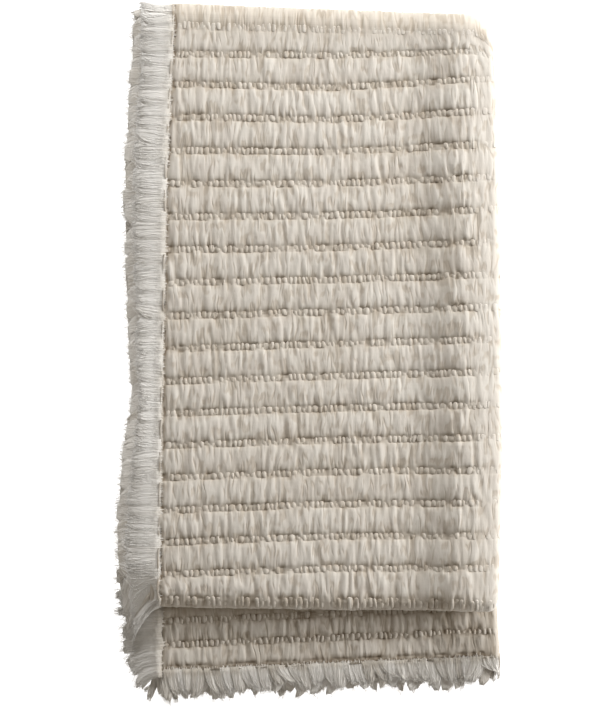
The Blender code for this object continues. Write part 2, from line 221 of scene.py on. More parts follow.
COARSE_SWELL = 0.0006
COARSE_GRAIN = (11, 9)
DEEPEST = 0.0016

# Two lines of stitches in every row, and what gathers the cloth at them
STITCH_INSET = 0.0027
STITCH_HALF = 0.0010
STITCH_DEPTH = 0.0009
STITCH_EVEN = 0.7
STITCH_SPREAD = 1.7
STITCH_MOST = 1.9
STITCH_GRAIN = (195, 1)
ROWS_APART = 2.9
LINES_APART = 0.9
GATHER_SHARE = 1.6
GATHER_GRAIN = (95, 1.7)
ROW_FLOOR = 0.0003
ROW_FLOOR_HALF = 0.0030

# Knots and the drawn edge of the first selvedge, and the dents in the flap's fold
HEM_INSET = 0.0034
HEM_HALF = 0.0012
HEM_DEPTH = 0.0022
HEM_EVEN = 0.7
HEM_SPREAD = 1.6
HEM_GRAIN = (0, 190)
HEM_PULLS = (0.1, 1.5)
HEM_WANDER = 0.0011
HEM_WANDER_GRAIN = (0, 85)
SELVEDGE_EASE = 0.010
SELVEDGE_SCALLOP = 0.0017
FLAP_DENT = 0.0016
FLAP_DENT_REACH = 0.0080
FLAP_DENT_GRAIN = (38, 0)

# Where the face is held down or calm, and where painted shade darkens its colour
HELD_SHARE = 0.35
PUFF_EASE = 0.012
FLAP_EASE = (0.004, 0.017)
SIDE_EASE = 0.004
STRIP_EASE = 0.005
STRIP_HELD = 0.6
TOP_EASE = 0.035
CALM_AT_TOP = (0.50, 0.0)
CALM_AT_RIGHT = 0.20
RIGHT_EASE = (0.010, 0.030)
CALM_LEVEL = 0.0012
FOLD_SHADE = 0.75
FOLD_SHADE_REACH = 0.018
STRIP_SHADE = 0.45

# Beads of cloth pinched up between the two lines of stitches of a row
BEAD_PITCH = 0.0048
BEAD_SPREAD = 0.20
BEAD_LEAST_PITCH = 0.6
BEAD_FILL = 0.43
BEAD_HALF_LENGTH = 0.0035
BEAD_HEIGHT = 0.0006
BEAD_SQUARENESS = 3.4
BEAD_LENGTH_SHARES = (0.85, 1.12)
BEAD_HEIGHT_SHARES = (0.65, 1.25)
BEAD_OFF_ROW = 0.0003
BEAD_TURN = 0.10
# How much less of the painted shade that follows the face's height the beads take, so they come out
# paler
BEAD_PALER = 0.12
GAP_SHARE = 0.09
BEADS_FROM_SELVEDGE = 0.0052
BEADS_PAST_FOLD = 0.006
BEADS_SET_BACK = 0.004
BEADS_UNDER_FLAP = 0.010
BEADS_PAST_TOP = 0.012
BEAD_SEED = 7

# Reach of the fringes, the runs of their tufts and how they fall
SIDE_FRINGE = 0.033
END_FRINGE = 0.024
FRINGE_DROOP = 0.29
DROOP_REACH = 1.2
OVER_LIFT = 0.0070
UNDER_CURL = 0.0060
SIDE_TUFT = 0.0120
END_TUFT = 0.0085
CORNER_TUFT = 0.0060
CORNER_RUN = 0.085
RUN_BEFORE_TOP = 0.02
RUN_PAST_FLAP = 0.012
CORNER_STRETCH = 0.030
FAN_REACH = 0.050
END_UNEVEN = 0.20
END_GRAIN = (75, 0)

# The side fringe at the flap, fanned down over the fringe beside the strip
SPILL_RUN = 0.040
SPILL_REACH = 0.036
SPILL_INWARDS = 0.010
SPILL_LEVEL = 0.0125
SPILL_SINK = 0.9
SPILL_CURVE = 1.1
SINK_CURVE = 0.7

# The fringe beside the strip, which covers the strip's border
BORDER_COVER = 0.0080
BORDER_UNEVEN = 0.35
BORDER_LIFT = 0.0068
BORDER_FALL = (-0.0060, 0.0180)
BORDER_GRAIN = (90, 0)

# Shape of a tuft
BODY_REACH = 0.90
BODY_SHARE = 0.8
TAPER_CURVE = 1.5
TIP_CURVE = 8
TIP_ROUNDING = 0.45
ROOT_THICKNESS = 0.55
BELLY_THICKNESS = 0.75
BELLY_FROM = 0.1
BELLY_RUN = 0.85
TIP_THINNER = 0.35
OFF_MIDDLE = 0.2
TILT_SHARES = (0.2, 1.0)

# Single yarns on the tufts, and the stray ones
YARN_ACROSS = 1.02
YARNS_ABOVE = 0.8
YARN_UNDERSIDE = -0.7
YARN_REACH_SHARES = (0.82, 1.03)
YARN_RADIUS = (0.00022, 0.00038)
YARN_THINNING = 0.55
YARN_SWING = 0.0010
YARN_WAVES = (0.8, 2.2)
YARN_CURL = 0.0006
YARN_TONES = 0.2
STRAY_SHARE = 0.05
STRAY_REACH = 0.10
STRAY_SWING = 1.5

# Roots of the yarns and tufts
ROOT_SPREAD = 0.0008
ROOT_MOST = 0.0030
ROOT_FALL = (-0.0030, 0.0080)
ROOT_UNEVEN = 0.60
ROOT_GRAIN = (130, 0)
# How far along the yarns the painted shade at their roots reaches
ROOT_SHADE_REACH = 0.40

# Colours of the cotton, with painted shade where its face lies low, and how much of each fine
# pattern it takes
CLOTH_HEIGHTS = (-0.8, 0.9)
CLOTH_COLOURS = (
    # place from the lowest to the highest, colour; the darker low end is painted shade in creases
    # and stitch lines
    (0.0, (0.38, 0.32, 0.25)),
    (0.35, (0.63, 0.575, 0.495)),
    (1.0, (0.79, 0.75, 0.685)),
)
CLOTH_TINTS = ((0.3, (0.93, 0.91, 0.90)), (0.7, (1.0, 1.0, 1.0)))
# Painted shade in the fine creases of the bump
CREASE_SHADES = ((0.0, (0.84, 0.81, 0.77)), (0.5, (1.0, 1.0, 1.0)))
FRINGE_COLOURS = (
    # tone, colour; the darker low end serves painted shade at the roots and on the under fringe
    (0.0, (0.62, 0.57, 0.495)),
    (0.4, (0.88, 0.85, 0.80)),
    (1.0, (0.97, 0.955, 0.925)),
)
CLOTH_YARN = {"Pleat": 0.25, "Crinkle": 0.05, "Weave": 0.03}
FRINGE_YARN = {"Pleat": 0.0, "Crinkle": 1.0, "Weave": 0.0}
CREASE_DRIFT = 0.0050
GATHERS_FROM = 0.32
GATHERS_STEEPNESS = 5.0

# What the picture takes in at the level of the top layer, its middle, and the lights
VIEW_HEIGHT = 0.656
VIEW_MIDDLE = (0.1251, -0.3225)
VIEWED_LEVEL = 0.036
CAMERA_ABOVE = 2.5
LIGHTS = (
    # name, place, size, power
    ("light_from_top", (0.10, 1.74, 1.05), (1.0, 0.6), 29.5),
    ("light_from_right", (1.75, 0.15, 0.52), (0.7, 0.5), 29.0),
)
ROOM_COLOUR = (1.0, 0.91, 0.79)
ROOM_STRENGTH = 0.21


def smooth_step(value, low, high):
    share = np.clip((value - low) / (high - low), 0.0, 1.0)
    return share * share * (3 - 2 * share)


def bump(distance, half_width):
    return np.exp(-((distance / half_width) ** 2))


def at_least(lowest, share):
    """Shares of 0 to 1, raised so that the lowest takes the place of 0."""
    return lowest + (1 - lowest) * share


def from_table(table, place, column):
    rows = sorted(table)
    return np.interp(place, [row[0] for row in rows], [row[column] for row in rows])


def lattice(x, y, seed):
    """Smooth noise of about -1 to 1 at each of the points, one swell a unit each way."""
    x, y = np.broadcast_arrays(x, y)
    places = zip(x.ravel().tolist(), y.ravel().tolist())
    return np.array([noise.noise((a, b, seed)) for a, b in places]).reshape(x.shape)


def uneven(x, y, grain, seed):
    """Smooth unevenness between -1 and 1, with so many swells a metre or a band each way."""
    return lattice(x * grain[0], y * grain[1], seed)


def follow(route, start, distance, offset):
    """Points at distances along straight runs and round turns, set off to the left."""
    x = np.full(distance.shape, start[0])
    y = np.full(distance.shape, start[1])
    heading = np.zeros(distance.shape)
    left = distance
    for number, (length, turn) in enumerate(route, 1):
        step = left if number == len(route) else np.minimum(left, length)
        if turn:
            radius = length / turn
            x = x - radius * np.sin(heading)
            y = y + radius * np.cos(heading)
            heading = heading + step / radius
            x = x + radius * np.sin(heading)
            y = y - radius * np.cos(heading)
        else:
            x = x + step * np.cos(heading)
            y = y + step * np.sin(heading)
        left = left - step
    return x - offset * np.sin(heading), y + offset * np.cos(heading)


def row_shift(width_place, length_place):
    """How far the cloth is pulled along at each place, so that the rows wander."""
    x_share = np.clip(width_place / BODY_WIDTH, 0.0, 1.0)
    y = TOP_FOLD_Y - (length_place - FRONT_START)
    on_front = smooth_step(length_place, FRONT_START, FRONT_START + ROW_EASE)
    on_front *= 1 - smooth_step(length_place, FLAP_FOLD_START - ROW_EASE, FLAP_FOLD_START)
    left = from_table(ROW_SWAY, y, 1) * np.maximum(1 - 2 * x_share, 0)
    right = from_table(ROW_SWAY, y, 2) * np.maximum(2 * x_share - 1, 0)
    wander = ROW_WANDER * uneven(width_place, length_place, WANDER_GRAIN, seed=4.0)
    return -(left + right + wander) * on_front


def swell(x, y):
    """How much taller the stack is at each place than where it lies evenly."""
    from_right = BODY_WIDTH - x
    half_width = np.where(from_right > RIDGE_INSET, *RIDGE_HALF_WIDTHS)
    rise = RIDGE_RISE * bump(from_right - RIDGE_INSET, half_width)
    rise *= at_least(RIDGE_AT_TOP, smooth_step(-y, *RIDGE_FULL))
    drop = TROUGH_DROP * bump(from_right - TROUGH_INSET, TROUGH_HALF_WIDTH)
    drop *= smooth_step(-y, *TROUGH_FULL)
    return 1 + rise - drop + SWELL * uneven(x, y, SWELL_GRAIN, seed=2.0)


def corner_pull(x, radius):
    """How far the corner by the right fold is rounded off."""
    inside = np.clip(x - (BODY_WIDTH - radius), 0.0, radius * CORNER_MOST)
    return radius - np.sqrt(radius * radius - inside * inside)


def outline(x, y, length_place):
    """Move places of the evenly folded throw to where the uneven one has them."""
    x_share = np.clip(x / BODY_WIDTH, 0.0, 1.0)
    edge = TOP_EDGE_RISE - (TOP_EDGE_RISE + TOP_EDGE_DROP) * x_share
    moved = edge * (1 - smooth_step(-y, 0.0, TOP_EDGE_FADE))
    moved -= corner_pull(x, TOP_CORNER) * (1 - smooth_step(-y, 0.0, TOP_CORNER_FADE))
    above_flap = y - (TOP_FOLD_Y - FRONT_PASS - FLAP_FOLD_RADIUS - HALF_STACK)
    on_flap = (1 - smooth_step(above_flap, 0.0, FLAP_CORNER_FADE)) * (length_place > FRONT_START)
    moved += (FLAP_TILT * (0.5 - x_share) + corner_pull(x, FLAP_CORNER)) * on_flap
    on_strip = 1 - smooth_step(length_place, END_SLANT_FROM, END_SLANT_TO)
    moved += END_SLANT * (x_share - 0.5) * on_strip
    bands_down = (TOP_FOLD_Y - y) / BAND
    left = from_table(EDGES, bands_down, 1)
    right = from_table(EDGES, bands_down, 2)
    return x + left + (right - left) * x_share, y + moved


def folded(width_place, length_place, offset):
    """Where points of the flat sheet lie once it is folded, as rows of x, y, z."""
    length_place_moved = length_place + row_shift(width_place, length_place)
    x, across = follow(ACROSS, (0.0, OUTER_PLY), width_place, offset)
    start = (TOP_FOLD_Y - UNDER_PASS, HALF_STACK)
    y, z = follow(ALONG, start, length_place_moved, -across)
    z = z * swell(np.maximum(x, 0.0), y)
    past_edge = (-x - SELVEDGE_STEP) / SIDE_FRINGE
    past_end = -length_place / END_FRINGE
    droop = FRINGE_DROOP * smooth_step(np.maximum(past_edge, past_end), 0.0, DROOP_REACH)
    z = np.maximum(z - np.maximum(z - HALF_SHEET, 0.0) * droop, 0.0)
    x, y = outline(x, y, length_place)
    return np.column_stack((x, y, z)) + frame_shift()


def frame_shift():
    """From the outline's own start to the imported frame, whose origin is the box's middle."""
    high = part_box("side_fringe_over")[1]
    edge_at_top = EDGES[0][1] - GAP
    return np.array((high.x - edge_at_top, high.y - TOP_EDGE_RISE, 0.0))


def spread(first, last, count):
    return list(np.linspace(first, last, count + 1))


def stations(*runs):
    """One rising list of places from runs that may share their ends."""
    places = []
    for place in (place for run in runs for place in run):
        if not places or place > places[-1] + PLACE_TOLERANCE:
            places.append(place)
    return places


def ply_stations():
    """Places across the width, the same over one another in all four plies."""
    return stations(
        [0.0],
        [PLY_LENGTH - place for place in reversed(FROM_RIGHT_FOLD)],
        spread(PLY_LENGTH, OUTER_FOLD_END, FOLD_PARTS),
        [OUTER_FOLD_END + place for place in FROM_RIGHT_FOLD],
        spread(STRIP_END, THIRD_PLY_START, INNER_FOLD_PARTS),
        [THIRD_PLY_END - place for place in reversed(FROM_RIGHT_FOLD)],
        spread(THIRD_PLY_END, FOURTH_PLY_START, INNER_FOLD_PARTS),
        [FOURTH_PLY_START + place for place in FROM_RIGHT_FOLD],
        [CLOTH_WIDTH],
    )


def pass_stations():
    """Places along the length, over one another in all three passes."""
    return stations(
        [0.0],
        spread(STRIP_SHOWN, TOP_FOLD_START, PASS_BANDS),
        spread(TOP_FOLD_START, FRONT_START, FOLD_PARTS),
        spread(FRONT_START, FLAP_FOLD_START, PASS_BANDS),
        spread(FLAP_FOLD_START, TUCKED_START, FOLD_PARTS),
        [TUCKED_START + BAND * number for number in range(PASS_BANDS)],
        [CLOTH_LENGTH],
    )


def stitch_rows():
    rows = []
    for first, last, count in ROW_RUNS:
        rows += list(np.linspace(first, last, count))
    return np.array(rows)


ROWS = stitch_rows()


def fine_lines():
    """Lines along the length: close beside each row where the face shows, wide elsewhere."""
    lines = []
    for start, end in zip(ROWS, ROWS[1:]):
        shown = end < STRIP_SHOWN + ROW_PITCH or start > TOP_FOLD_START - ROW_PITCH
        beside = ROW_SIDE_LINES if shown else SPARSE_SIDE_LINES
        lines += [start + side for side in beside]
        lines += [end - side for side in beside]
        if shown:
            inner = (start + beside[-1], end - beside[-1])
            lines += spread(*inner, round((inner[1] - inner[0]) / MIDDLE_LINE_PITCH))
    taken = np.array(pass_stations())
    free = [line for line in lines if np.abs(taken - line).min() > LINE_ROOM]
    return stations(sorted([*free, *taken]))


def slab(bm, columns, rows):
    """A flat closed slab whose two sides are divided at the given places."""
    bmesh.ops.create_grid(bm, x_segments=len(columns) - 1, y_segments=len(rows) - 1, size=0.5)
    for vert in bm.verts:
        column = round((vert.co.x + 0.5) * (len(columns) - 1))
        row = round((vert.co.y + 0.5) * (len(rows) - 1))
        vert.co = (columns[column], rows[row], HALF_SHEET)
    under = bmesh.ops.extrude_face_region(bm, geom=bm.faces[:])["geom"]
    under = [part for part in under if isinstance(part, bmesh.types.BMVert)]
    bmesh.ops.translate(bm, verts=under, vec=(0, 0, -SHEET))
    bmesh.ops.recalc_face_normals(bm, faces=bm.faces)


def shows(width_place, length_place):
    """Whether the face of the cloth is seen at this place once it is folded."""
    if length_place > TUCKED_START:
        return PLY_LENGTH < width_place < OUTER_FOLD_END
    if length_place < STRIP_SHOWN:
        return width_place < STRIP_END
    return width_place < OUTER_FOLD_END


def shown_edges(bm, axis, low, high):
    """Edges of the shown face that run along one axis, from one station to the next."""
    found = set()
    for face in bm.faces:
        centre = face.calc_center_median()
        if centre.z < HALF_SHEET * 0.9 or not low < centre[axis] < high:
            continue
        if shows(centre.x, centre.y):
            found.update(
                edge
                for edge in face.edges
                if abs(edge.verts[0].co[axis] - edge.verts[1].co[axis]) > PLACE_TOLERANCE
            )
    return list(found)


def divide(bm, axis, places, cuts):
    """Cut the shown face so many times between each place and the next."""
    for low, high, count in zip(places, places[1:], cuts):
        edges = shown_edges(bm, axis, low, high) if count else []
        if edges:
            bmesh.ops.subdivide_edges(bm, edges=edges, cuts=count)


def flat_cloth():
    """The flat slab, its face finely divided where it shows."""
    bm = bmesh.new()
    columns, rows = ply_stations(), pass_stations()
    slab(bm, columns, rows)
    column_cuts = [max(round((b - a) / COLUMN) - 1, 0) for a, b in zip(columns, columns[1:])]
    divide(bm, 0, columns, column_cuts)
    lines = np.array(fine_lines())
    row_cuts = []
    even = []
    for low, high in zip(rows, rows[1:]):
        inside = (lines > low + PLACE_TOLERANCE) & (lines < high - PLACE_TOLERANCE)
        row_cuts.append(int(inside.sum()))
        even += list(np.linspace(low, high, row_cuts[-1] + 2)[:-1])
    divide(bm, 1, rows, row_cuts)
    even.append(CLOTH_LENGTH)
    for vert in bm.verts:
        vert.co.y = float(np.interp(vert.co.y, even, lines))
    return bm


def bands(length_place):
    """The number of the band between stitched rows at each place, and the share across it."""
    marks = np.concatenate(([ROWS[0] - ROW_PITCH], ROWS, [ROWS[-1] + ROW_PITCH]))
    number = np.clip(np.searchsorted(marks, length_place) - 1, 0, len(marks) - 2)
    share = (length_place - marks[number]) / (marks[number + 1] - marks[number])
    return number, np.clip(share, 0.0, 1.0)


def pleats(width_place, number, share):
    """Billows and creases that run from row to row, other ones in each band."""
    place = number * BAND_APART + share * PLEAT_FORK
    drift = PLEAT_DRIFT * uneven(width_place, place, PLEAT_DRIFT_GRAIN, seed=17.1)
    patches = 1 + PLEAT_PATCHES * uneven(width_place, number, PLEAT_PATCH_GRAIN, seed=12.9)
    total = np.zeros(width_place.shape)
    for cell, height, ridged, seed in PLEATS:
        crossing = np.abs(lattice((width_place + drift) / cell, place, seed))
        billow = np.minimum(crossing * PLEAT_STEEPNESS, 1.0) - BILLOW_LEVEL
        ridge = np.maximum(1 - crossing * RIDGE_STEEPNESS, 0.0) - RIDGE_LEVEL
        total += height * (billow * (1 - ridged) + ridge * ridged)
    held = smooth_step(np.minimum(share, 1 - share), 0.0, PLEATS_HELD_TO)
    return total * patches * at_least(PLEATS_AT_ROWS, held)


def puffs(width_place, number, share):
    rise = (4 * share * (1 - share)) ** PUFF_ROUNDNESS
    rise *= 1 + PUFF_UNEVEN * uneven(width_place, number, PUFF_GRAIN, seed=9.0)
    return PUFF_FALL + PUFF_HEIGHT * rise


def stitched(width_place, length_place):
    """How far the face is drawn in along each row and its two lines of stitches."""
    nearest = np.abs(length_place[:, None] - ROWS[None, :]).argmin(axis=1)
    off = length_place - ROWS[nearest]
    line = nearest * ROWS_APART + np.sign(off) * LINES_APART
    pinch = STITCH_EVEN + STITCH_SPREAD * uneven(width_place, line, STITCH_GRAIN, seed=8.8)
    pinch += GATHER_SHARE * uneven(width_place, nearest, GATHER_GRAIN, seed=2.2)
    pinch = np.clip(pinch, 0.0, STITCH_MOST)
    sewn = STITCH_DEPTH * pinch * bump(np.abs(off) - STITCH_INSET, STITCH_HALF)
    return -sewn - ROW_FLOOR * bump(off, ROW_FLOOR_HALF)


def calmness(width_place, length_place):
    """How strongly the rows draw the face in, less by the top fold and the right fold."""
    from_fold = length_place - FRONT_START
    at_top = (1 - smooth_step(from_fold, 0.0, TOP_EASE)) * (length_place > TOP_FOLD_START)
    left_at_top = np.interp(width_place, (0.0, PLY_LENGTH), CALM_AT_TOP)
    from_right = np.abs(PLY_LENGTH - width_place)
    at_right = 1 - smooth_step(from_right, *RIGHT_EASE)
    at_right = at_right * (width_place < OUTER_FOLD_END)
    return (1 - at_top * (1 - left_at_top)) * (1 - at_right * (1 - CALM_AT_RIGHT))


def hem(width_place, length_place):
    """How deep the small pulls of the knots are along the first selvedge."""
    pulls = HEM_EVEN + HEM_SPREAD * uneven(width_place, length_place, HEM_GRAIN, seed=3.3)
    pulls = np.clip(pulls, *HEM_PULLS)
    wander = HEM_WANDER * uneven(width_place, length_place, HEM_WANDER_GRAIN, seed=5.1)
    return HEM_DEPTH * pulls * bump(width_place - HEM_INSET - wander, HEM_HALF)


def freedom(width_place, length_place):
    """How free the face is to puff up: fully where it shows, not where a layer lies on it."""
    front = smooth_step(length_place, TOP_FOLD_START, TOP_FOLD_START + PUFF_EASE)
    front *= 1 - smooth_step(length_place - FLAP_FOLD_START, *FLAP_EASE)
    front *= 1 - smooth_step(width_place, PLY_LENGTH + SIDE_EASE, OUTER_FOLD_END)
    strip = 1 - smooth_step(length_place, STRIP_OPEN, STRIP_SHOWN)
    strip = strip * smooth_step(width_place, OUTER_FOLD_END, OUTER_FOLD_END + PUFF_EASE)
    strip *= 1 - STRIP_HELD * smooth_step(width_place, STRIP_END - STRIP_EASE, STRIP_END)
    return np.where(width_place > OUTER_FOLD_END, strip, front)


def relief(width_place, length_place):
    """How far the face of the cloth stands out or in at each place that shows."""
    number, share = bands(length_place)
    calm = calmness(width_place, length_place)
    height = puffs(width_place, number, share) * calm + CALM_LEVEL * (1 - calm)
    height += pleats(width_place, number, share) * at_least(PLEATS_WHEN_CALM, calm)
    height += COARSE_SWELL * uneven(width_place, length_place, COARSE_GRAIN, seed=14.0)
    dent = FLAP_DENT * uneven(width_place, length_place, FLAP_DENT_GRAIN, seed=21.0)
    height += dent * bump(length_place - FLAP_FOLD_START - FLAP_FOLD_ARC / 2, FLAP_DENT_REACH)
    sewn = stitched(width_place, length_place) * calm
    sewn -= hem(width_place, length_place)
    free = freedom(width_place, length_place)
    by_selvedge = at_least(HELD_SHARE, smooth_step(width_place, 0.0, SELVEDGE_EASE))
    total = np.maximum(height, 0.0) * free * by_selvedge + np.minimum(height, 0.0)
    total += sewn * at_least(HELD_SHARE, free)
    deepest = DEEPEST * smooth_step(width_place, HEM_INSET * HELD_SHARE, HEM_INSET)
    return np.maximum(total, -deepest)


def points_of(mesh):
    points = np.empty(len(mesh.vertices) * 3)
    mesh.vertices.foreach_get("co", points)
    return points.reshape(-1, 3)


def move_points(mesh, points):
    mesh.vertices.foreach_set("co", points.astype(np.float32).ravel())
    mesh.update()


def add_values(mesh, name, values):
    layer = mesh.attributes.new(name, "FLOAT", "POINT")
    layer.data.foreach_set("value", values.astype(np.float32))


def add_flat_map(mesh, points):
    """A UV map of the places on the flat cloth, in metres."""
    corners = np.empty(len(mesh.loops), dtype=np.int32)
    mesh.loops.foreach_get("vertex_index", corners)
    layer = mesh.uv_layers.new(name="flat")
    layer.data.foreach_set("uv", points[corners, :2].astype(np.float32).ravel())


def add_object(name, mesh, material):
    mesh.materials.append(material)
    mesh.polygons.foreach_set("use_smooth", [True] * len(mesh.polygons))
    piece = bpy.data.objects.new(name, mesh)
    bpy.context.scene.collection.objects.link(piece)
    return piece


def outward(mesh, *joined):
    """Faces that point outwards after the folds, with other meshes joined to this one."""
    bm = bmesh.new()
    for part in (mesh, *joined):
        bm.from_mesh(part)
    bm.normal_update()
    bmesh.ops.recalc_face_normals(bm, faces=bm.faces)
    bm.to_mesh(mesh)
    bm.free()


def scallop(width_place, length_place):
    """How far the first selvedge is drawn in beside each row."""
    share = bands(length_place)[1]
    drawn = 1 - (4 * share * (1 - share)) ** 0.5
    return SELVEDGE_SCALLOP * drawn * (1 - smooth_step(width_place, 0.0, SELVEDGE_EASE))


def fold_shade(length_place):
    """How much painted shade darkens the cloth's colour over the crest of the top fold."""
    return FOLD_SHADE * bump(length_place - (FRONT_START - TOP_FOLD_ARC / 4), FOLD_SHADE_REACH)


def strip_shade(width_place, length_place):
    """How much painted shade, for the flap's shadow, darkens the strip where it comes out from under
    the flap.
    """
    on_strip = (width_place > OUTER_FOLD_END) & (width_place < STRIP_END)
    return STRIP_SHADE * on_strip * (length_place < STRIP_SHOWN)


def make_cloth(material):
    bm = flat_cloth()
    mesh = bpy.data.meshes.new("crinkled_cloth")
    bm.to_mesh(mesh)
    bm.free()
    flat = points_of(mesh)
    height = np.zeros(len(flat))
    on_face = (flat[:, 2] > 0) & (flat[:, 0] <= STRIP_END) & (flat[:, 1] <= TUCKED_START)
    height[on_face] = relief(flat[on_face, 0], flat[on_face, 1])
    add_flat_map(mesh, flat)
    # The height attribute carries the face's height, which the material colours darker where low as
    # painted shade, and the painted shade of the top fold and the strip
    shade = fold_shade(flat[:, 1]) + strip_shade(flat[:, 0], flat[:, 1])
    add_values(mesh, "height", height / PUFF_HEIGHT - shade)
    flat[:, 0] += scallop(flat[:, 0], flat[:, 1])
    move_points(mesh, folded(flat[:, 0], flat[:, 1], flat[:, 2] + height))
    outward(mesh)
    return add_object("crinkled_cloth", mesh, material)


def rod(sides, rings):
    """A closed rod along +X from 0 to 1, of unit radius, with so many rings of points."""
    bm = bmesh.new()
    bmesh.ops.create_cone(bm, cap_ends=True, segments=sides, radius1=1, radius2=1, depth=1)
    long_edges = [edge for edge in bm.edges if abs(edge.verts[0].co.z - edge.verts[1].co.z) > 0.5]
    bmesh.ops.subdivide_edges(bm, edges=long_edges, cuts=rings - 2)
    for vert in bm.verts:
        vert.co = (vert.co.z + 0.5, vert.co.x, vert.co.y)
    bmesh.ops.recalc_face_normals(bm, faces=bm.faces)
    return bm


def joined_copies(name, bm, count):
    """One mesh of so many copies of a small shape, and its points as copies by points."""
    small = bpy.data.meshes.new(name)
    bm.to_mesh(small)
    bm.free()
    holder = bpy.data.objects.new(name, small)
    bpy.context.scene.collection.objects.link(holder)
    array = holder.modifiers.new("copies", "ARRAY")
    array.use_relative_offset = False
    array.use_constant_offset = True
    array.constant_offset_displace = (0, 0, 0)
    array.count = count
    graph = bpy.context.evaluated_depsgraph_get()
    mesh = bpy.data.meshes.new_from_object(holder.evaluated_get(graph))
    bpy.data.objects.remove(holder)
    return mesh, points_of(mesh).reshape(count, -1, 3)


def bead_runs():
    """Rows that show: the row's number, and where its beads start and end."""
    runs = []
    for number, row in enumerate(ROWS):
        if ROWS[0] < row < STRIP_OPEN + BEADS_UNDER_FLAP:
            runs.append((number, OUTER_FOLD_END - BEADS_SET_BACK, STRIP_END - BEADS_SET_BACK))
        elif row > TOP_FOLD_START + BEADS_PAST_TOP:
            runs.append((number, BEADS_FROM_SELVEDGE, PLY_LENGTH + BEADS_PAST_FOLD))
    return runs


def bead_places(random):
    """Middle, row and half width of every bead, from one side to the other, with gaps."""
    beads = []
    for number, start, end in bead_runs():
        place = start
        while place < end:
            pitch = BEAD_PITCH * max(random.normal(1.0, BEAD_SPREAD), BEAD_LEAST_PITCH)
            if random.uniform() > GAP_SHARE:
                beads.append((place + pitch / 2, ROWS[number], pitch * BEAD_FILL))
            place += pitch
    return np.array(beads).T


def lump():
    """A small rounded block, 2 wide, long and high."""
    bm = bmesh.new()
    bmesh.ops.create_cube(bm, size=2.0)
    bmesh.ops.subdivide_edges(bm, edges=bm.edges[:], cuts=1, use_grid_fill=True)
    for vert in bm.verts:
        size = sum(abs(side) ** BEAD_SQUARENESS for side in vert.co) ** (1 / BEAD_SQUARENESS)
        vert.co /= size
    return bm


def make_beads(material):
    """The small lumps of cloth between the two lines of stitches of every row that shows."""
    random = np.random.default_rng(BEAD_SEED)
    middles, rows, half_widths = bead_places(random)
    count = len(middles)
    mesh, points = joined_copies("stitched_beads", lump(), count)
    lengths = BEAD_HALF_LENGTH * random.uniform(*BEAD_LENGTH_SHARES, count)
    heights = BEAD_HEIGHT * random.uniform(*BEAD_HEIGHT_SHARES, count)
    heights *= calmness(middles, rows)
    rows = rows + random.normal(0, BEAD_OFF_ROW, count)
    turned = random.normal(0, BEAD_TURN, count) * lengths
    floor = relief(middles, rows)
    middles, rows, half_widths, lengths, heights, turned, floor = (
        values[:, None] for values in (middles, rows, half_widths, lengths, heights, turned, floor)
    )
    side, along, up = (points[:, :, axis] for axis in range(3))
    width_place = (middles + side * half_widths + along * turned).ravel()
    length_place = (rows + along * lengths).ravel()
    height = (floor + up * heights).ravel()
    add_flat_map(mesh, np.column_stack((width_place, length_place)))
    # Beads sit higher on the painted shade ramp, so they come out paler
    add_values(mesh, "height", height / PUFF_HEIGHT + BEAD_PALER)
    move_points(mesh, folded(width_place, length_place, HALF_SHEET + height))
    outward(mesh)
    return add_object("stitched_beads", mesh, material)


class Manner(NamedTuple):
    """How the tufts of one fringe are made. Each pair is the least and the most."""

    reach: float
    inset: float
    root_rise: float
    thickness: tuple
    tilt: float
    lean_spread: float
    narrowing: float
    tone: tuple
    root_shade: float
    reach_share: tuple = (0.95, 1.05)
    width_share: tuple = (0.85, 1.15)
    lean: float = 0.0
    fan: float = 0.016
    corner_painted_light: float = 0.0


OVER_TUFTS = Manner(
    reach=SIDE_FRINGE * 0.91,
    inset=0.0020,
    root_rise=0.0011,
    thickness=(0.0005, 0.0008),
    tilt=0.0003,
    lean_spread=0.0026,
    narrowing=0.05,
    tone=(0.75, 1.0),
    root_shade=0.70,
)
UNDER_TUFTS = Manner(
    reach=SIDE_FRINGE,
    inset=0.0012,
    root_rise=0.0010,
    thickness=(0.0007, 0.0012),
    tilt=0.0006,
    lean_spread=0.0040,
    narrowing=0.10,
    # The under fringe's lower tone is painted shade, and its tufts beside the strip take painted
    # light
    tone=(0.15, 0.45),
    root_shade=0.90,
    corner_painted_light=0.60,
)
END_TUFTS = Manner(
    reach=END_FRINGE,
    inset=0.0016,
    root_rise=0.0004,
    thickness=(0.0008, 0.0014),
    tilt=0.0010,
    lean_spread=0.0040,
    narrowing=0.50,
    tone=(0.15, 0.75),
    root_shade=0.55,
    reach_share=(0.76, 1.06),
    width_share=(0.65, 1.25),
    lean=-0.0045,
    fan=0.008,
)


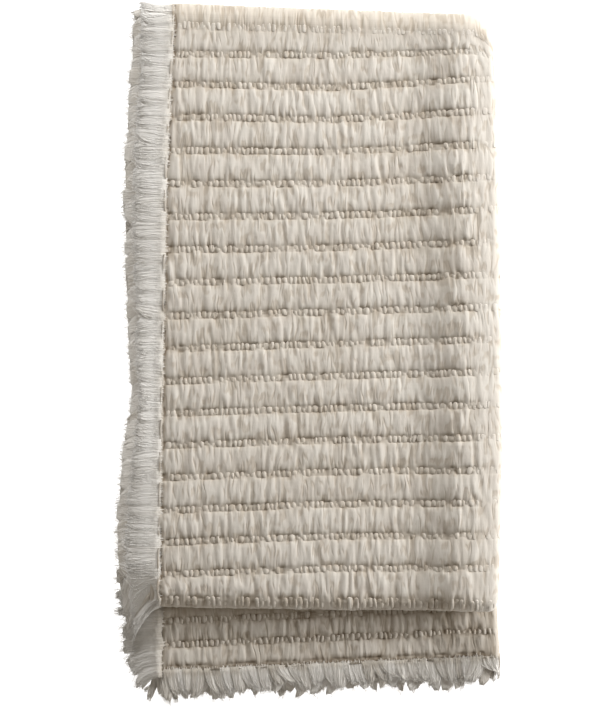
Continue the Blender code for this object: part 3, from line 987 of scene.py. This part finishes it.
class Tufts:
    """Where the tufts of one fringe stand, and how each of them is shaped."""

    def __init__(self, runs, manner, edge_length, seed):
        self.random = np.random.default_rng(seed)
        self.manner = manner
        rows = []
        for first, last, pitch, yarns in runs:
            count = max(round((last - first) / pitch), 1)
            step = (last - first) / count
            for number in range(count):
                middle = first + step * (number + 0.5 + self.random.uniform(-OFF_MIDDLE, OFF_MIDDLE))
                rows.append((middle, step, yarns))
        middles, steps, yarns = np.array(rows).T
        count = len(middles)
        self.middle = middles
        self.half_width = steps * self.random.uniform(*manner.width_share, count)
        self.yarns = yarns.astype(int)
        self.reach = manner.reach * self.random.uniform(*manner.reach_share, count)
        by_start = np.maximum(1 - middles / FAN_REACH, 0)
        by_end = np.maximum(1 - (edge_length - middles) / FAN_REACH, 0)
        self.lean = self.random.normal(manner.lean, manner.lean_spread, count)
        self.lean -= manner.fan * (by_start - by_end)
        self.tilt = self.random.uniform(*TILT_SHARES, count) * manner.tilt
        self.thick = self.random.uniform(*manner.thickness, count)
        self.tone = self.random.uniform(*manner.tone, count)
        # Painted light on the tufts beside the strip, which lie in the flap's shadow
        self.tone += manner.corner_painted_light * (middles < CORNER_RUN)


def tuft_shape(along, narrowing):
    """Width and thickness shares of a tuft along its length."""
    width = 1 - narrowing * along**TAPER_CURVE
    width -= TIP_ROUNDING * (1 - narrowing) * along**TIP_CURVE
    belly = np.sin(math.pi * np.clip(along * BELLY_RUN + BELLY_FROM, 0, 1))
    return width, ROOT_THICKNESS + BELLY_THICKNESS * belly - TIP_THINNER * along


def root_rise(tufts, past, place):
    """How far the roots stand up, to lie over the border that they are knotted through."""
    share = 1 + ROOT_UNEVEN * uneven(place, past, ROOT_GRAIN, seed=9.4)
    return tufts.manner.root_rise * share * (1 - smooth_step(past, *ROOT_FALL))


def lay_tufts(tufts, points):
    """Places of the tufts' points beside the flat cloth: past the edge, along it, height."""
    along, side, up = (points[:, :, axis] for axis in range(3))
    width, thickness = tuft_shape(along, tufts.manner.narrowing)
    reach = tufts.reach[:, None] * BODY_REACH
    half_width = tufts.half_width[:, None] * width
    past = -tufts.manner.inset + (reach + tufts.manner.inset) * along
    place = tufts.middle[:, None] + side * half_width + tufts.lean[:, None] * along**2
    height = BODY_SHARE * up * tufts.thick[:, None] * thickness
    height += side * tufts.tilt[:, None]
    height += root_rise(tufts, past, place)
    return past, place, height


def lay_yarns(tufts, points, owner):
    """Places of the single yarns' points, spread over the tufts that own them."""
    random = tufts.random
    count = len(owner)
    across = random.uniform(-YARN_ACROSS, YARN_ACROSS, count)
    top = np.where(random.uniform(0, 1, count) < YARNS_ABOVE, 1.0, YARN_UNDERSIDE)
    stray = random.uniform(0, 1, count) < STRAY_SHARE
    reach = tufts.reach[owner] * random.uniform(*YARN_REACH_SHARES, count)
    reach *= 1 + STRAY_REACH * stray
    radius = random.uniform(*YARN_RADIUS, count)
    inset = tufts.manner.inset + np.minimum(random.exponential(ROOT_SPREAD, count), ROOT_MOST)
    swing = random.normal(0, YARN_SWING, count) * (1 + STRAY_SWING * stray)
    waves = random.uniform(*YARN_WAVES, count)
    phase = random.uniform(0, 2 * math.pi, count)
    curl = random.normal(0, YARN_CURL, count)
    along, side, up = (points[:, :, axis] for axis in range(3))
    width, thickness = tuft_shape(np.clip(along, 0, 1), tufts.manner.narrowing)
    thinning = radius[:, None] * (1 - YARN_THINNING * along**2)
    wave = swing[:, None] * np.sin(waves[:, None] * 2 * math.pi * along + phase[:, None]) * along
    past = -inset[:, None] + (reach + inset)[:, None] * along
    off_middle = (across * tufts.half_width[owner])[:, None] * width
    place = tufts.middle[owner][:, None] + off_middle
    place += tufts.lean[owner][:, None] * along**2 + wave + side * thinning
    crown = np.sqrt(np.maximum(1 - across**2, 0.0)) * top * tufts.thick[owner]
    height = BODY_SHARE * crown[:, None] * thickness
    height += (across * tufts.tilt[owner])[:, None]
    height += curl[:, None] * along**2 + up * thinning
    height += root_rise(tufts, past, place)
    return past, place, height


def make_fringe(name, tufts, place_on_cloth, material):
    """One fringe: flat tufts for its body and single yarns over and past them."""
    body, body_points = joined_copies(name, rod(sides=10, rings=8), len(tufts.middle))
    owner = np.repeat(np.arange(len(tufts.middle)), tufts.yarns)
    yarns, yarn_points = joined_copies(name + "_yarns", rod(sides=3, rings=6), len(owner))
    laid_body = lay_tufts(tufts, body_points)
    laid_yarns = lay_yarns(tufts, yarn_points, owner)
    tones = tufts.tone[owner] + tufts.random.uniform(-YARN_TONES, YARN_TONES, len(owner))
    finish_part(body, laid_body, tone_along(tufts, tufts.tone, body_points), place_on_cloth)
    finish_part(yarns, laid_yarns, tone_along(tufts, tones, yarn_points), place_on_cloth)
    outward(body, yarns)
    return add_object(name, body, material)


def tone_along(tufts, tones, points):
    """How pale the yarns are at each point, with painted shade darkening them towards the roots."""
    along = points[:, :, 0]
    return tones[:, None] - tufts.manner.root_shade * (1 - smooth_step(along, 0.0, ROOT_SHADE_REACH))


def finish_part(mesh, laid, tones, place_on_cloth):
    past, place, height = (values.ravel() for values in laid)
    add_flat_map(mesh, np.column_stack((past, place)))
    add_values(mesh, "tone", tones.ravel())
    width_place, length_place, height = place_on_cloth(past, place, height)
    points = folded(width_place, length_place, height)
    move_points(mesh, spilled(points, past / SIDE_FRINGE, length_place))


def spilled(points, share_out, length_place):
    """The side fringe beside the flap, fanned down over the fringe beside the strip."""
    turned = smooth_step(length_place, FLAP_FOLD_START - SPILL_RUN, FLAP_FOLD_START)
    turned = turned * (1 - smooth_step(length_place, TUCKED_START, TUCKED_START + SPILL_RUN))
    out = np.clip(share_out, 0.0, 1.0)
    points[:, 0] += SPILL_INWARDS * turned * out**2
    points[:, 1] -= SPILL_REACH * turned * out**SPILL_CURVE
    sink = SPILL_SINK * turned * out**SINK_CURVE
    points[:, 2] -= np.maximum(points[:, 2] - SPILL_LEVEL, 0.0) * sink
    return points


def down_the_throw(length_place):
    """How far from the top fold places along the cloth lie, as y values."""
    start = (TOP_FOLD_Y - UNDER_PASS, HALF_STACK)
    return follow(ALONG, start, length_place, np.zeros(length_place.shape))[0]


def by_the_front(place):
    """How far places along a selvedge are on the front: 1 there, 0 past the two folds."""
    started = smooth_step(place, TOP_FOLD_START, FRONT_START)
    return started * (1 - smooth_step(place, FLAP_FOLD_START, TUCKED_START))


def beside_first_selvedge(past, place, height):
    reach = from_table(SIDE_REACH, down_the_throw(place), 1)
    lift = OVER_LIFT * by_the_front(place) * np.maximum(past / SIDE_FRINGE, 0.0) ** 2
    return -past * reach, place, height + lift


def beside_last_selvedge(past, place, height):
    reach = from_table(SIDE_REACH, down_the_throw(place), 1)
    curl = UNDER_CURL * by_the_front(place) * np.maximum(past / SIDE_FRINGE, 0.0) ** 3
    at_strip = 1 - smooth_step(place, CORNER_RUN, CORNER_RUN + SIDE_TUFT)
    past = past * reach
    cover = BORDER_COVER * (1 + BORDER_UNEVEN * uneven(place, past, BORDER_GRAIN, seed=6.6))
    past -= cover * at_strip * np.clip(1 - past / SIDE_FRINGE, 0.0, 1.0)
    lift = BORDER_LIFT * at_strip * (1 - smooth_step(past, *BORDER_FALL))
    return CLOTH_WIDTH + past, place, height + curl + lift


def beside_shown_end(past, place, height):
    reach = from_table(END_REACH, place - OUTER_FOLD_END, 1)
    reach += END_UNEVEN * uneven(place, past, END_GRAIN, seed=4.7)
    return place, -past * reach, height


def beside_tucked_end(past, place, height):
    return place, CLOTH_LENGTH + past, height


def side_runs(front_yarns, hidden_yarns):
    """Runs of tufts down a selvedge: start, end, pitch and yarns in each tuft."""
    front_start = TOP_FOLD_START - RUN_BEFORE_TOP
    return (
        (0.0, CORNER_RUN, CORNER_TUFT, front_yarns),
        (CORNER_RUN, front_start, SIDE_TUFT, hidden_yarns),
        (front_start, FLAP_FOLD_START + RUN_PAST_FLAP, SIDE_TUFT, front_yarns),
        (TUCKED_START, CLOTH_LENGTH, SIDE_TUFT, hidden_yarns),
    )


def end_runs(shown_yarns, other_yarns):
    """Runs of tufts along an end, ply by ply."""
    return (
        (0.0, CORNER_STRETCH, CORNER_TUFT, shown_yarns),
        (CORNER_STRETCH, PLY_LENGTH, END_TUFT, other_yarns),
        (PLY_LENGTH, OUTER_FOLD_END, END_TUFT / 2, other_yarns),
        (OUTER_FOLD_END, THIRD_PLY_START, END_TUFT, shown_yarns),
        (THIRD_PLY_START, THIRD_PLY_END, END_TUFT, other_yarns),
        (FOURTH_PLY_START, CLOTH_WIDTH - CORNER_STRETCH, END_TUFT, other_yarns),
        (CLOTH_WIDTH - CORNER_STRETCH, CLOTH_WIDTH, CORNER_TUFT, shown_yarns),
    )


def make_fringes(material):
    """The four fringes, by the node that each takes the place of."""
    over = Tufts(side_runs(front_yarns=46, hidden_yarns=12), OVER_TUFTS, CLOTH_LENGTH, seed=11)
    under = Tufts(side_runs(front_yarns=34, hidden_yarns=12), UNDER_TUFTS, CLOTH_LENGTH, seed=12)
    shown = Tufts(end_runs(shown_yarns=36, other_yarns=14), END_TUFTS, CLOTH_WIDTH, seed=13)
    tucked = Tufts(end_runs(shown_yarns=6, other_yarns=6), END_TUFTS, CLOTH_WIDTH, seed=14)
    return {
        "side_fringe_over": make_fringe("side_tufts_over", over, beside_first_selvedge, material),
        "side_fringe_under": make_fringe("side_tufts_under", under, beside_last_selvedge, material),
        "end_fringe_shown": make_fringe("end_tufts_shown", shown, beside_shown_end, material),
        "end_fringe_tucked": make_fringe("end_tufts_tucked", tucked, beside_tucked_end, material),
    }


def add_node(tree, kind, place, **settings):
    node = tree.nodes.new(kind)
    node.location = place
    for name, value in settings.items():
        setattr(node, name, value)
    return node


def combine(tree, operation, place, first, second, clamped=False):
    """A Math node on two sources, each a socket or a number, and its output."""
    node = add_node(tree, "ShaderNodeMath", place, operation=operation, use_clamp=clamped)
    for socket, source in zip(node.inputs, (first, second)):
        if isinstance(source, float):
            socket.default_value = source
        else:
            tree.links.new(source, socket)
    return node.outputs["Value"]


def noise_on(tree, place, source, scale, detail):
    """A noise texture on a source."""
    node = add_node(tree, "ShaderNodeTexNoise", place)
    node.inputs["Scale"].default_value = scale
    node.inputs["Detail"].default_value = detail
    tree.links.new(source, node.inputs["Vector"])
    return node


def creases(tree, corner, source, scale, detail, steepness):
    """Creases where a stretched noise crosses its middle: 0 in a crease and 1 between them."""
    x, y = corner
    stretch = add_node(tree, "ShaderNodeMapping", (x, y))
    stretch.inputs["Scale"].default_value = scale
    tree.links.new(source, stretch.inputs["Vector"])
    pattern = noise_on(tree, (x + 200, y), stretch.outputs["Vector"], 1.0, detail)
    off = combine(tree, "SUBTRACT", (x + 400, y), pattern.outputs["Fac"], 0.5)
    size = combine(tree, "ABSOLUTE", (x + 550, y), off, 0.0)
    return combine(tree, "MULTIPLY", (x + 700, y), size, steepness, clamped=True)


def drifted(tree, corner, source):
    """The place, shifted a little to and fro across the cloth, so that creases lean and fork."""
    x, y = corner
    drift = noise_on(tree, corner, source, scale=50, detail=1)
    about_zero = add_node(tree, "ShaderNodeVectorMath", (x + 200, y), operation="SUBTRACT")
    about_zero.inputs[1].default_value = (0.5, 0.5, 0.5)
    sized = add_node(tree, "ShaderNodeVectorMath", (x + 400, y), operation="MULTIPLY")
    sized.inputs[1].default_value = (CREASE_DRIFT, 0.0, 0.0)
    moved = add_node(tree, "ShaderNodeVectorMath", (x + 600, y), operation="ADD")
    link = tree.links.new
    link(drift.outputs["Color"], about_zero.inputs[0])
    link(about_zero.outputs["Vector"], sized.inputs[0])
    link(sized.outputs["Vector"], moved.inputs[0])
    link(source, moved.inputs[1])
    return moved.outputs["Vector"]


def woven(tree, corner, source):
    """The weave's own small squares, as a height."""
    x, y = corner
    waves = []
    for number, direction in enumerate("XY"):
        wave = add_node(tree, "ShaderNodeTexWave", (x, y - number * 300), bands_direction=direction)
        wave.inputs["Scale"].default_value = 240
        wave.inputs["Distortion"].default_value = 1.2
        wave.inputs["Detail"].default_value = 1.0
        tree.links.new(source, wave.inputs["Vector"])
        waves.append(wave.outputs["Fac"])
    return combine(tree, "MULTIPLY", (x + 250, y), *waves)


def yarn_group():
    """Fine pleats, crinkles and the weave of the cotton, as a height, painted crease shade and a
    tone.
    """
    tree = bpy.data.node_groups.new("cotton_yarn", "ShaderNodeTree")
    for name, kind, way in (
        ("Place", "NodeSocketVector", "INPUT"),
        ("Pleat", "NodeSocketFloat", "INPUT"),
        ("Crinkle", "NodeSocketFloat", "INPUT"),
        ("Weave", "NodeSocketFloat", "INPUT"),
        ("Height", "NodeSocketFloat", "OUTPUT"),
        ("Crease", "NodeSocketFloat", "OUTPUT"),
        ("Tone", "NodeSocketFloat", "OUTPUT"),
    ):
        tree.interface.new_socket(name=name, in_out=way, socket_type=kind)
    entry = add_node(tree, "NodeGroupInput", (-1700, 0))
    leave = add_node(tree, "NodeGroupOutput", (600, 0))
    place = drifted(tree, (-1500, 500), entry.outputs["Place"])
    pleated = creases(tree, (-700, 500), place, scale=(185, 32, 1), detail=1, steepness=7.0)
    crinkled = creases(tree, (-700, 150), place, scale=(430, 80, 1), detail=2, steepness=5.0)
    weave = woven(tree, (-700, -200), entry.outputs["Place"])
    patches = noise_on(tree, (-700, -800), entry.outputs["Place"], scale=45, detail=2)
    gathers = noise_on(tree, (-700, -1100), entry.outputs["Place"], scale=85, detail=1)
    gathered = combine(tree, "SUBTRACT", (-450, -1100), gathers.outputs["Fac"], GATHERS_FROM)
    strength = combine(tree, "MULTIPLY", (-250, -1100), gathered, GATHERS_STEEPNESS)
    crease_depth = combine(tree, "SUBTRACT", (100, 650), pleated, 1.0)
    patchy = combine(tree, "MULTIPLY", (150, 550), crease_depth, strength)
    pleat_part = combine(tree, "MULTIPLY", (200, 450), patchy, entry.outputs["Pleat"])
    crinkle_part = combine(tree, "MULTIPLY", (150, 150), crinkled, entry.outputs["Crinkle"])
    weave_part = combine(tree, "MULTIPLY", (150, -200), weave, entry.outputs["Weave"])
    fine = combine(tree, "ADD", (300, 0), crinkle_part, weave_part)
    total = combine(tree, "ADD", (450, 100), pleat_part, fine)
    link = tree.links.new
    link(total, leave.inputs["Height"])
    link(combine(tree, "ADD", (350, 600), patchy, 1.0, clamped=True), leave.inputs["Crease"])
    link(patches.outputs["Fac"], leave.inputs["Tone"])
    return tree


def coloured(tree, place, source, stops):
    """Colours by the value of a source, from a ramp with these stops."""
    node = add_node(tree, "ShaderNodeValToRGB", place)
    steps = node.color_ramp.elements
    while len(steps) < len(stops):
        steps.new(0.5)
    for step, (position, colour) in zip(steps, stops):
        step.position = position
        step.color = (*colour, 1.0)
    tree.links.new(source, node.inputs["Fac"])
    return node.outputs["Color"]


def start_material(name, roughness, sheen):
    material = bpy.data.materials.new(name)
    material.use_nodes = True
    shader = material.node_tree.nodes["Principled BSDF"]
    shader.inputs["Roughness"].default_value = roughness
    shader.inputs["Sheen Weight"].default_value = sheen
    shader.inputs["Sheen Roughness"].default_value = 0.6
    shader.inputs["Specular IOR Level"].default_value = 0.2
    return material, material.node_tree, shader


def multiplied(tree, place, first, second):
    node = add_node(tree, "ShaderNodeMix", place, data_type="RGBA", blend_type="MULTIPLY")
    node.inputs["Factor"].default_value = 1.0
    tree.links.new(first, node.inputs["A"])
    tree.links.new(second, node.inputs["B"])
    return node.outputs["Result"]


def add_yarn(tree, place, group, shares):
    """The yarn group's node, with how much it takes of each of its patterns."""
    node = add_node(tree, "ShaderNodeGroup", place, node_tree=group)
    for name, share in shares.items():
        node.inputs[name].default_value = share
    return node


def finish_surface(tree, shader, colour, height, strength, distance):
    """Put the colour and the fine bump on the shader."""
    bumps = add_node(tree, "ShaderNodeBump", (-350, -300))
    bumps.inputs["Strength"].default_value = strength
    bumps.inputs["Distance"].default_value = distance
    tree.links.new(height, bumps.inputs["Height"])
    tree.links.new(bumps.outputs["Normal"], shader.inputs["Normal"])
    tree.links.new(colour, shader.inputs["Base Color"])


def cloth_material(group):
    material, tree, shader = start_material("crinkled_cotton_weave", roughness=0.95, sheen=0.15)
    flat = add_node(tree, "ShaderNodeUVMap", (-1200, 0), uv_map="flat")
    yarn = add_yarn(tree, (-900, 0), group, CLOTH_YARN)
    # Painted shade: the colour darkens where the height attribute is low
    height = add_node(tree, "ShaderNodeAttribute", (-1200, 300), attribute_name="height")
    reach = add_node(tree, "ShaderNodeMapRange", (-900, 300))
    reach.inputs["From Min"].default_value = CLOTH_HEIGHTS[0]
    reach.inputs["From Max"].default_value = CLOTH_HEIGHTS[1]
    tree.links.new(flat.outputs["UV"], yarn.inputs["Place"])
    tree.links.new(height.outputs["Fac"], reach.inputs["Value"])
    colour = coloured(tree, (-650, 300), reach.outputs["Result"], CLOTH_COLOURS)
    tints = coloured(tree, (-650, -200), yarn.outputs["Tone"], CLOTH_TINTS)
    shades = coloured(tree, (-650, 50), yarn.outputs["Crease"], CREASE_SHADES)
    tinted = multiplied(tree, (-350, 200), colour, tints)
    shaded = multiplied(tree, (-150, 200), tinted, shades)
    finish_surface(tree, shader, shaded, yarn.outputs["Height"], strength=1.0, distance=0.0009)
    return material


def fringe_material(group):
    material, tree, shader = start_material("fringe_cotton_yarn", roughness=0.95, sheen=0.45)
    flat = add_node(tree, "ShaderNodeUVMap", (-1200, 0), uv_map="flat")
    turned = add_node(tree, "ShaderNodeMapping", (-1050, 0))
    turned.inputs["Rotation"].default_value = (0, 0, math.radians(90))
    yarn = add_yarn(tree, (-850, 0), group, FRINGE_YARN)
    tone = add_node(tree, "ShaderNodeAttribute", (-1200, 300), attribute_name="tone")
    tree.links.new(flat.outputs["UV"], turned.inputs["Vector"])
    tree.links.new(turned.outputs["Vector"], yarn.inputs["Place"])
    colour = coloured(tree, (-650, 300), tone.outputs["Fac"], FRINGE_COLOURS)
    finish_surface(tree, shader, colour, yarn.outputs["Height"], strength=0.5, distance=0.0006)
    return material


def make_floor():
    bm = bmesh.new()
    bmesh.ops.create_grid(bm, x_segments=1, y_segments=1, size=4.0)
    mesh = bpy.data.meshes.new("floor")
    bm.to_mesh(mesh)
    bm.free()
    material = bpy.data.materials.new("white_floor")
    material.use_nodes = True
    shader = material.node_tree.nodes["Principled BSDF"]
    shader.inputs["Base Color"].default_value = (0.9, 0.9, 0.9, 1.0)
    shader.inputs["Roughness"].default_value = 0.9
    shader.inputs["Specular IOR Level"].default_value = 0.1
    shader.inputs["Emission Color"].default_value = (1.0, 1.0, 1.0, 1.0)
    shader.inputs["Emission Strength"].default_value = 0.85
    floor = add_object("floor", mesh, material)


def aim(thing, target):
    thing.rotation_euler = (Vector(target) - thing.location).to_track_quat("-Z", "Y").to_euler()


def make_light(name, place, size, power):
    data = bpy.data.lights.new(name, "AREA")
    data.shape = "RECTANGLE"
    data.size, data.size_y = size
    data.energy = power
    light = bpy.data.objects.new(name, data)
    light.location = place
    bpy.context.scene.collection.objects.link(light)
    aim(light, (0.0, 0.0, 0.0))


def make_surroundings(colour, strength):
    world = bpy.data.worlds.new("pale_room")
    world.use_nodes = True
    sky = world.node_tree.nodes["Background"]
    sky.inputs["Color"].default_value = (*colour, 1.0)
    sky.inputs["Strength"].default_value = strength
    bpy.context.scene.world = world


def make_camera():
    data = bpy.data.cameras.new("camera")
    data.sensor_fit = "VERTICAL"
    data.sensor_height = 24
    data.lens = data.sensor_height * CAMERA_ABOVE / VIEW_HEIGHT
    camera = bpy.data.objects.new("camera", data)
    shift = frame_shift()
    camera.location = (
        VIEW_MIDDLE[0] + shift[0],
        VIEW_MIDDLE[1] + shift[1],
        VIEWED_LEVEL + CAMERA_ABOVE,
    )
    bpy.context.scene.collection.objects.link(camera)
    bpy.context.scene.camera = camera


def dress_up():
    group = yarn_group()
    cotton = cloth_material(group)
    cloth = make_cloth(cotton)
    beads = make_beads(cotton)
    fringes = make_fringes(fringe_material(group))
    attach(cloth, "root")
    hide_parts("throw_cloth")
    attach(beads, "root")
    for node, fringe in fringes.items():
        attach(fringe, "root")
        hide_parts(node)


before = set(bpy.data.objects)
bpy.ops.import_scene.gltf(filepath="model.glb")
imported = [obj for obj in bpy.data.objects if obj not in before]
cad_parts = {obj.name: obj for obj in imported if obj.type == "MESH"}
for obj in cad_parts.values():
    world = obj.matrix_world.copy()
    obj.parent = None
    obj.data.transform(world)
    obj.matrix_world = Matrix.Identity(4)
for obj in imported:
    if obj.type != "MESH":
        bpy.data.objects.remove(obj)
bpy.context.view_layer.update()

dress_up()
make_floor()
for light in LIGHTS:
    make_light(*light)
make_surroundings(ROOM_COLOUR, ROOM_STRENGTH)
make_camera()
bpy.context.scene.view_settings.view_transform = "Standard"
